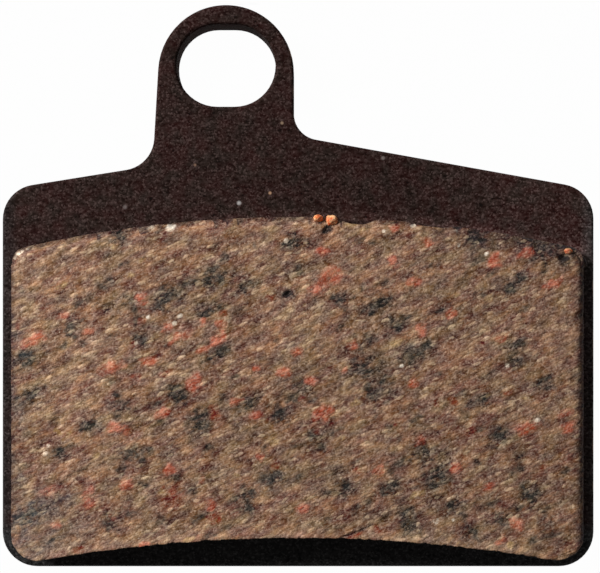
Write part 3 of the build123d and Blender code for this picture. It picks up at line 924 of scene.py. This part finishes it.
def stovedPrimer():
    # Shot-blasted steel under stoved black primer: brownish black, matte, with fine dimples
    material, tree = newMaterial("stovedBlackPrimer")
    place = addNode(tree, "ShaderNodeTexCoord")
    sized = addNode(tree, "ShaderNodeMapping", {
        "Vector": place.outputs["Object"], "Scale": (1 / mm, 1 / mm, 1 / mm)}).outputs["Vector"]
    wiped = addNode(tree, "ShaderNodeMapping", {
        "Vector": sized, "Scale": (1 / primer["wipeStretch"], 1, 1)}).outputs["Vector"]
    warm = addNode(tree, "ShaderNodeTexNoise", {
        "Vector": sized, "Scale": 1 / primer["tintMm"], "Detail": 2.0})
    warmth = addNode(tree, "ShaderNodeMapRange", {
        "Value": warm.outputs["Fac"], "From Min": 0.35, "From Max": 0.65})
    tint = addNode(tree, "ShaderNodeMix", {
        0: warmth.outputs["Result"], 6: linearColour(primer["olive"]), 7: linearColour(primer["rust"]),
    }, data_type="RGBA")
    coat = addNode(tree, "ShaderNodeMix", {
        0: primer["tintCover"], 6: linearColour(primer["coat"]), 7: tint.outputs[2]},
        data_type="RGBA").outputs[2]
    patches = addNode(tree, "ShaderNodeTexNoise", {
        "Vector": sized, "Scale": 1 / primer["patchMm"], "Detail": 3.0, "Roughness": 0.7})
    stops = addNode(tree, "ShaderNodeMapRange", {
        "Value": patches.outputs["Fac"], "To Min": -primer["patchStops"], "To Max": primer["patchStops"]})
    bright = addNode(tree, "ShaderNodeMath", {0: 2.0, 1: stops.outputs["Result"]}, operation="POWER")
    colour = addNode(tree, "ShaderNodeVectorMath", {
        0: coat, "Scale": bright.outputs[0]}, operation="SCALE").outputs["Vector"]
    gritAndGlints = addNode(tree, "ShaderNodeTexVoronoi", {"Vector": sized, "Scale": 1 / primer["dustMm"]})
    dustPick = addNode(tree, "ShaderNodeSeparateColor", {"Color": gritAndGlints.outputs["Color"]})
    rareBright = addNode(tree, "ShaderNodeMath", {
        0: dustPick.outputs["Red"], 1: primer["dustRare"]}, operation="POWER")
    streaks = addNode(tree, "ShaderNodeTexNoise", {
        "Vector": wiped, "Scale": 1 / primer["wipeMm"], "Detail": 2.0})
    # Fine grit, partly painted glints, and faint wiping streaks, each less its own mean
    for source, mean, hexCode in (
        (rareBright.outputs[0], 0.2, primer["gritAndGlints"]),
        (streaks.outputs["Fac"], 0.5, primer["wipe"]),
    ):
        centred = addNode(tree, "ShaderNodeMath", {0: source, 1: mean}, operation="SUBTRACT")
        colour = addNode(tree, "ShaderNodeVectorMath", {
            0: centred.outputs[0], 1: linearColour(hexCode)[:3], 2: colour},
            operation="MULTIPLY_ADD").outputs["Vector"]
    colour = addNode(tree, "ShaderNodeVectorMath", {
        0: colour, 1: linearColour(primer["darkest"])[:3]}, operation="MAXIMUM").outputs["Vector"]
    where = addNode(tree, "ShaderNodeSeparateXYZ", {"Vector": place.outputs["Object"]})
    # Painted light: towards the right the shoulder is painted paler
    paleRight = addNode(tree, "ShaderNodeMapRange", {
        "Value": where.outputs["X"],
        "From Min": primer["paleRightMm"][0] * mm, "From Max": primer["paleRightMm"][1] * mm,
        "To Min": 1.0, "To Max": primer["paleRightShare"]})

    # Painted light along the crown's foot and on the right shoulder, then specks of dirt
    arcMiddle, arcRadius = crownArc()
    flat = addNode(tree, "ShaderNodeVectorMath", {0: sized, 1: (1, 1, 0)}, operation="MULTIPLY")
    fromMiddle = addNode(tree, "ShaderNodeVectorMath", {
        0: flat.outputs["Vector"], 1: arcMiddle}, operation="DISTANCE")
    past = addNode(tree, "ShaderNodeMath", {
        0: fromMiddle.outputs["Value"], 1: arcRadius}, operation="SUBTRACT")
    inside = addNode(tree, "ShaderNodeMath", {
        0: past.outputs[0], 1: -primer["footLightInside"]}, operation="MULTIPLY")
    beside = addNode(tree, "ShaderNodeMath", {0: past.outputs[0], 1: inside.outputs[0]}, operation="MAXIMUM")
    footLight = addNode(tree, "ShaderNodeMapRange", {
        "Value": beside.outputs[0], "From Min": primer["footLightMm"], "From Max": 0.0,
        "To Max": primer["footLightShare"]})
    onTop = addNode(tree, "ShaderNodeMapRange", {
        "Value": where.outputs["Z"],
        "From Min": primer["topMm"][0] * mm, "From Max": primer["topMm"][1] * mm})
    alongX = addNode(tree, "ShaderNodeMapRange", {
        "Value": where.outputs["X"], "From Min": primer["footLightFromMm"] * mm,
        "From Max": primer["paleRightMm"][1] * mm})
    cover = addNode(tree, "ShaderNodeMath", {
        0: onTop.outputs["Result"], 1: alongX.outputs["Result"]}, operation="MULTIPLY")
    paler = addNode(tree, "ShaderNodeMath", {
        0: cover.outputs[0], 1: footLight.outputs["Result"], 2: paleRight.outputs["Result"]},
        operation="MULTIPLY_ADD")
    colour = addNode(tree, "ShaderNodeVectorMath", {
        0: colour, "Scale": paler.outputs[0]}, operation="SCALE").outputs["Vector"]
    for pixelX, pixelY, radius, hexCode in plateSpecks:
        spot = topSpot("backing_plate", pixelX, pixelY)[0] * mm
        away = addNode(tree, "ShaderNodeVectorMath", {
            0: place.outputs["Object"], 1: tuple(spot)}, operation="DISTANCE")
        cover = addNode(tree, "ShaderNodeMapRange", {
            "Value": away.outputs["Value"], "From Min": radius * mm,
            "From Max": radius * primer["speckCore"] * mm})
        colour = addNode(tree, "ShaderNodeMix", {
            0: cover.outputs["Result"], 6: colour, 7: linearColour(hexCode)}, data_type="RGBA").outputs[2]

    # Rubbed grey along both sides, with painted light on the right side, without hue along the lower edge,
    # and bare metal in spots on the right edge
    low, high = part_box("backing_plate")
    facing = addNode(tree, "ShaderNodeSeparateXYZ", {"Vector": place.outputs["Normal"]})
    aside = addNode(tree, "ShaderNodeMath", {
        0: where.outputs["X"], 1: (low.x + high.x) / 2}, operation="SUBTRACT")
    apart = addNode(tree, "ShaderNodeMath", {0: aside.outputs[0]}, operation="ABSOLUTE")
    half = (high.x - low.x) / 2
    sideBand = addNode(tree, "ShaderNodeMapRange", {
        "Value": apart.outputs[0], "From Min": half - primer["sideBandMm"] * mm, "From Max": half})
    onRight = addNode(tree, "ShaderNodeMapRange", {
        "Value": aside.outputs[0], "From Min": -mm, "From Max": mm,
        "To Min": primer["sideLevels"][0], "To Max": primer["sideLevels"][1]})
    colour = addNode(tree, "ShaderNodeHueSaturation", {
        "Saturation": primer["rubbedSaturation"], "Value": onRight.outputs["Result"],
        "Fac": sideBand.outputs["Result"], "Color": colour}).outputs["Color"]
    greyStrip = addNode(tree, "ShaderNodeMapRange", {
        "Value": where.outputs["Y"],
        "From Min": primer["greyStripMm"][0] * mm, "From Max": primer["greyStripMm"][1] * mm})
    colour = addNode(tree, "ShaderNodeHueSaturation", {
        "Saturation": primer["greyStripSaturation"], "Fac": greyStrip.outputs["Result"],
        "Color": colour}).outputs["Color"]
    bare = addNode(tree, "ShaderNodeMapRange", {
        "Value": facing.outputs["X"], "From Min": primer["bareFacing"][0],
        "From Max": primer["bareFacing"][1]}).outputs["Result"]
    lowBare, highBare = primer["bareMm"]
    for source, start, full in (
        (where.outputs["Z"], highBare, highBare - primer["bareFadeMm"]),
        (where.outputs["Z"], lowBare, lowBare + primer["bareFadeMm"]),
        (where.outputs["X"], *primer["bareFromMm"]),
    ):
        limit = addNode(tree, "ShaderNodeMapRange", {
            "Value": source, "From Min": start * mm, "From Max": full * mm})
        bare = addNode(tree, "ShaderNodeMath", {
            0: bare, 1: limit.outputs["Result"]}, operation="MULTIPLY").outputs[0]
    spots = addNode(tree, "ShaderNodeTexNoise", {
        "Vector": sized, "Scale": 1 / primer["bareSpotMm"], "Detail": 3.0})
    worn = addNode(tree, "ShaderNodeMapRange", {
        "Value": spots.outputs["Fac"],
        "From Min": primer["bareSpots"][0], "From Max": primer["bareSpots"][1]})
    bare = addNode(tree, "ShaderNodeMath", {
        0: bare, 1: worn.outputs["Result"]}, operation="MULTIPLY").outputs[0]
    colour = addNode(tree, "ShaderNodeMix", {
        0: bare, 6: colour, 7: linearColour(primer["bareMetal"])}, data_type="RGBA").outputs[2]
    rough = addNode(tree, "ShaderNodeMapRange", {
        "Value": bare, "To Min": primer["roughness"][0], "To Max": primer["roughness"][1]})

    bump = addNode(tree, "ShaderNodeBump", {
        "Height": gritAndGlints.outputs["Distance"], "Distance": primer["dimpleMm"] * mm}, invert=True)
    shader = addNode(tree, "ShaderNodeBsdfPrincipled", {
        "Base Color": colour, "Roughness": rough.outputs["Result"], "Metallic": bare,
        "Specular IOR Level": primer["specular"], "Normal": bump.outputs["Normal"]})
    addNode(tree, "ShaderNodeOutputMaterial", {"Surface": shader.outputs["BSDF"]})
    return material


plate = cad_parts["backing_plate"]
plate.material_slots[0].material = stovedPrimer()
print("backing plate: coated")


# Studio: white floor, one key lamp, soft fill from all round
studio = {
    "keyFrom": (-0.85, 0.53),     # upper left, as the photo's shadows say
    "keyElevation": 36.0,
    "keyDistanceMm": 145.0,       # close enough to fade a little towards the far corner
    "keySizeMm": 40.0,
    "keyLevel": 0.885,            # share of its own colour that a flat surface gets from the key
    "fillLevel": 0.14,            # and from all round
    "floorWhite": 0.985,          # how much of the floor's white can't be shadowed
    "floorPaper": "8C8C8C",       # what the floor gives back as light, kept low so that the walls stay dark
    "floorSizeMm": 1600.0,
    "floorGapMm": 0.02,
}


def keyLamp():
    low, high = cadBox
    aim = (low + high) / 2
    rise = math.radians(studio["keyElevation"])
    distance = studio["keyDistanceMm"] * mm
    flat = Vector((*studio["keyFrom"], 0)).normalized()
    direction = flat * math.cos(rise) + Vector((0, 0, math.sin(rise)))
    lamp = bpy.data.lights.new("keyLamp", "AREA")
    lamp.shape = "DISK"
    lamp.size = studio["keySizeMm"] * mm
    lamp.energy = studio["keyLevel"] * (math.pi * distance) ** 2 / math.sin(rise)
    holder = bpy.data.objects.new("keyLamp", lamp)
    holder.location = aim + direction * distance
    holder.rotation_euler = direction.to_track_quat("Z", "Y").to_euler()
    bpy.context.scene.collection.objects.link(holder)


def seenRays(tree):
    # 1 where the camera, or a mirror or glass in front of it, sees the backdrop
    path = addNode(tree, "ShaderNodeLightPath")
    mirrored = addNode(tree, "ShaderNodeMath", {
        0: path.outputs["Is Glossy Ray"], 1: path.outputs["Is Transmission Ray"]}, operation="MAXIMUM")
    return addNode(tree, "ShaderNodeMath", {
        0: path.outputs["Is Camera Ray"], 1: mirrored.outputs[0]}, operation="MAXIMUM").outputs[0]


def whiteFloor():
    # Seamless white paper: even white to the eye, with only a trace of the pad's shadow
    material, tree = newMaterial("whiteSeamlessPaper")
    paper = addNode(tree, "ShaderNodeBsdfDiffuse", {"Color": linearColour(studio["floorPaper"])})
    glow = addNode(tree, "ShaderNodeEmission", {"Color": linearColour("FFFFFF"), "Strength": 1.0})
    share = addNode(tree, "ShaderNodeMath", {
        0: seenRays(tree), 1: studio["floorWhite"]}, operation="MULTIPLY")
    both = addNode(tree, "ShaderNodeMixShader", {
        "Fac": share.outputs[0], 1: paper.outputs["BSDF"], 2: glow.outputs["Emission"]})
    addNode(tree, "ShaderNodeOutputMaterial", {"Surface": both.outputs["Shader"]})
    half = studio["floorSizeMm"] / 2 * mm
    under = cadBox[0].z - studio["floorGapMm"] * mm
    mesh = bpy.data.meshes.new("floor")
    corners = [(-half, -half, under), (half, -half, under), (half, half, under), (-half, half, under)]
    mesh.from_pydata(corners, [], [(0, 1, 2, 3)])
    mesh.materials.append(material)
    floor = bpy.data.objects.new("floor", mesh)
    bpy.context.scene.collection.objects.link(floor)


def fillLight():
    world = bpy.data.worlds.new("studioWorld")
    world.use_nodes = True
    tree = world.node_tree
    tree.nodes.clear()
    level = addNode(tree, "ShaderNodeMapRange", {
        "Value": seenRays(tree), "To Min": studio["fillLevel"], "To Max": 1.0})
    light = addNode(tree, "ShaderNodeBackground", {
        "Color": linearColour("FFFFFF"), "Strength": level.outputs["Result"]})
    addNode(tree, "ShaderNodeOutputWorld", {"Surface": light.outputs["Background"]})
    bpy.context.scene.world = world


def placeCamera():
    lens = bpy.data.cameras.new("photoCamera")
    reach = photoCamera["aboveBackMm"] - photoCamera["scaleLevelMm"]
    lens.sensor_fit = "HORIZONTAL"
    lens.sensor_width = photoCamera["sensorMm"]
    lens.lens = photoCamera["sensorMm"] * photoCamera["pxPerMm"] * reach / photoCamera["widthPx"]
    lens.clip_start = mm
    lens.clip_end = 10.0
    holder = bpy.data.objects.new("photoCamera", lens)
    holder.location = Vector((*photoCamera["overMm"], photoCamera["aboveBackMm"])) * mm
    bpy.context.scene.collection.objects.link(holder)
    bpy.context.scene.camera = holder


whiteFloor()
keyLamp()
fillLight()
placeCamera()
bpy.context.scene.view_settings.view_transform = "Standard"
print("studio: floor, lamp, fill and camera set")
